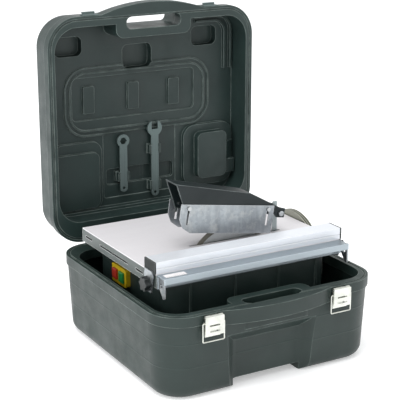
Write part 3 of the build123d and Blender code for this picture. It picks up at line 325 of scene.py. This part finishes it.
def satin_plastic(name, colour):
    """Smooth small moulding with finger wear."""
    s = Surface(name, specular=0.5)
    wear = s.remap(s.noise(120.0, 4.0), 0.4, 0.7)
    base = s.mix(wear, colour, shade(colour, 0.82))
    # Painted highlight along the edges.
    base = s.mix(s.math("MULTIPLY", s.edges(0.0008), 0.5), base, shade(colour, 1.5))
    s.colour(base)
    s.roughness(s.remap(wear, 0.0, 1.0, 0.28, 0.45))
    s.bump(s.noise(800.0, 2.0), 0.08, 0.0002)
    return s.material


def cast_alloy(name, colour):
    """Die-cast metal with a sandy skin and darker cloudy patches."""
    s = Surface(name, metallic=0.7)
    skin = s.noise(600.0, 4.0)
    clouds = s.remap(s.noise(25.0, 4.0), 0.3, 0.7)
    base = s.mix(clouds, shade(colour, 0.8), shade(colour, 1.1))
    # Painted highlight along the edges.
    base = s.mix(s.edges(0.001), base, shade(colour, 1.5))
    s.colour(base)
    s.roughness(s.remap(skin, 0.3, 0.7, 0.45, 0.65))
    s.bump(skin, 0.25, 0.0004)
    return s.material


def laminated(name, colour, along):
    """Stacked sheets or wound wire: thin bands along one axis."""
    s = Surface(name, metallic=0.6)
    scale = [0.0, 0.0, 0.0]
    scale["xyz".index(along)] = 1.0
    wave = s.node("ShaderNodeTexWave", bands_direction="DIAGONAL")
    wave.inputs["Scale"].default_value = 520.0
    wave.inputs["Distortion"].default_value = 0.4
    s.link(s.stretched(*scale), wave.inputs["Vector"])
    base = s.mix(wave.outputs["Fac"], shade(colour, 0.6), shade(colour, 1.2))
    s.colour(base)
    s.roughness(s.remap(s.noise(200.0), 0.3, 0.7, 0.35, 0.6))
    s.bump(wave.outputs["Fac"], 0.3, 0.0003)
    return s.material


def rubber(name, colour):
    """Dull rubber with a dusty bloom."""
    s = Surface(name, roughness=0.8, specular=0.3)
    bloom = s.remap(s.noise(90.0, 4.0), 0.4, 0.7)
    s.colour(s.mix(bloom, colour, shade(colour, 2.2)))
    s.bump(s.noise(700.0, 2.0), 0.2, 0.0003)
    return s.material


def printed_scale(name):
    """Pale film with a row of plain measuring ticks along X."""
    s = Surface(name, roughness=0.4)
    low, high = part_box("scale_label")
    phase = s.math("FRACT", s.math("MULTIPLY", s.coordinate("X"), TICKS_PER_METRE))
    tick = s.math("LESS_THAN", phase, 0.28)
    band = s.math("LESS_THAN", s.coordinate("Y"), low.y + TICK_BAND * (high.y - low.y))
    ink = s.math("MULTIPLY", s.math("MULTIPLY", tick, band), 0.75)
    paper = s.mix(s.remap(s.noise(160.0, 3.0), 0.35, 0.7), linear(224, 222, 221), linear(208, 205, 205))
    s.colour(s.mix(ink, paper, linear(112, 112, 114)))
    s.bump(s.noise(300.0), 0.05, 0.0002)
    return s.material


def make_materials():
    """One material for each of the record's material slots."""
    return {
        "case_plastic": moulded_plastic("case_plastic", linear(35, 49, 47), linear(112, 124, 120)),
        "tray_plastic": moulded_plastic("tray_plastic", linear(30, 42, 40), linear(80, 92, 88)),
        # Table: pale top, and a darker colour for its skirt that is painted shade
        "table_steel": sheet_with_shaded_skirt("table_steel", linear(216, 214, 217), linear(78, 86, 84)),
        "rail_aluminium": drawn_metal("rail_aluminium", linear(168, 178, 184), "x", lip=0.0016),
        "fence_aluminium": drawn_metal(
            "fence_aluminium", linear(226, 230, 236), "x", (0.3, 0.42), 0.05, 0.3,
        ),
        "latch_steel": plated("latch_steel", linear(222, 224, 216), (0.3, 0.5)),
        "plated_steel": galvanised("plated_steel", linear(160, 166, 170)),
        "guard_plastic": moulded_plastic(
            "guard_plastic", linear(14, 26, 28), linear(122, 130, 130), 1100.0, bump=0.12,
        ),
        "knife_steel": drawn_metal("knife_steel", linear(166, 176, 176), "z"),
        "blade_steel": ground_disc("blade_steel", linear(186, 190, 190), "blade_core", "y"),
        "diamond_grit": diamond_grit("diamond_grit", linear(128, 126, 116)),
        "tool_steel": drawn_metal("tool_steel", linear(104, 118, 117), "z", (0.35, 0.55), 0.2, 0.7),
        "knob_plastic": moulded_plastic(
            "knob_plastic", linear(22, 26, 26), linear(70, 76, 76), 1200.0,
        ),
        "cap_plastic": moulded_plastic(
            "cap_plastic", linear(30, 35, 35), linear(96, 102, 102), 500.0, (0.5, 0.7), 0.5,
        ),
        "switch_yellow": satin_plastic("switch_yellow", linear(186, 158, 22)),
        "button_red": satin_plastic("button_red", linear(156, 44, 30)),
        "button_green": satin_plastic("button_green", linear(30, 112, 56)),
        "label_film": printed_scale("label_film"),
        "zinc": plated("zinc", linear(196, 199, 200)),
        "motor_alloy": cast_alloy("motor_alloy", linear(134, 138, 140)),
        "motor_iron": laminated("motor_iron", linear(110, 112, 114), "y"),
        "winding": laminated("winding", linear(184, 108, 60), "y"),
        "bearing_steel": plated("bearing_steel", linear(204, 206, 208), (0.15, 0.3)),
        "fan_plastic": satin_plastic("fan_plastic", linear(34, 35, 36)),
        "capacitor_can": satin_plastic("capacitor_can", linear(206, 208, 204)),
        "black_rubber": rubber("black_rubber", linear(26, 26, 26)),
        "disc_steel": ground_disc("disc_steel", linear(176, 177, 164), "spare_blades", "x"),
    }


def dress_cad_nodes(materials):
    """Each CAD node gets its slot's material; the case base gets a darker copy of the case plastic as
    painted shade, with faint mould lines as well.
    """
    slots = {part["node"]: part["material_slot"] for part in frame["record"]["subparts"]}
    finish = {name: materials[slots[name]] for name in NODES}
    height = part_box("case_base")[1].z
    bands = [fraction * height for fraction in MOULD_LINES]
    # Painted shade: the case base is a darker copy of the case plastic.
    finish["case_base"] = moulded_plastic(
        "case_base_shaded_plastic", linear(33, 46, 43), linear(108, 120, 115), bands=bands
    )
    for name, node in NODES.items():
        for slot in node.material_slots:
            slot.material = finish[name]


# ---------------------------------------------------------------------------
# Stage, light and camera
# ---------------------------------------------------------------------------

def add_floor():
    """Large pale sheet that the case stands on."""
    mesh = bpy.data.meshes.new("floor")
    maker = bmesh.new()
    bmesh.ops.create_grid(maker, x_segments=1, y_segments=1, size=FLOOR_SIZE)
    maker.to_mesh(mesh)
    maker.free()
    floor = bpy.data.objects.new("floor", mesh)
    floor.location.z = FLOOR_Z
    bpy.context.scene.collection.objects.link(floor)
    s = Surface("floor", roughness=0.9, specular=0.1)
    s.shader.inputs["Emission Strength"].default_value = 0.35
    s.colour(s.mix(s.noise(2.0), linear(240, 241, 242), linear(243, 244, 245)))
    mesh.materials.append(s.material)


def add_area_light(name, place, size, power):
    """Rectangular light that faces the object."""
    light = bpy.data.lights.new(name, "AREA")
    light.shape = "RECTANGLE"
    light.size = size[0]
    light.size_y = size[1]
    light.energy = power
    holder = bpy.data.objects.new(name, light)
    holder.location = place
    holder.rotation_euler = (Vector(LIGHT_TARGET) - Vector(place)).to_track_quat("-Z", "Y").to_euler()
    bpy.context.scene.collection.objects.link(holder)


def add_lights():
    """Soft studio light: a white surround and two area lights, from above and from the left."""
    world = bpy.data.worlds.new("studio")
    world.use_nodes = True
    background = world.node_tree.nodes["Background"]
    background.inputs["Color"].default_value = (1.0, 1.0, 1.0, 1.0)
    background.inputs["Strength"].default_value = SURROUND
    bpy.context.scene.world = world
    for name, place, size, power in LIGHTS:
        add_area_light(name, place, size, power)


def add_camera():
    """Long lens from the front left, a little above."""
    data = bpy.data.cameras.new("camera")
    data.lens = CAMERA_LENS
    data.sensor_width = SENSOR_WIDTH
    holder = bpy.data.objects.new("camera", data)
    holder.location = CAMERA_PLACE
    holder.rotation_euler = CAMERA_TILT
    bpy.context.scene.collection.objects.link(holder)
    bpy.context.scene.camera = holder


materials = make_materials()
dress_cad_nodes(materials)
add_floor()
add_lights()
add_camera()
bpy.context.scene.view_settings.view_transform = "Standard"
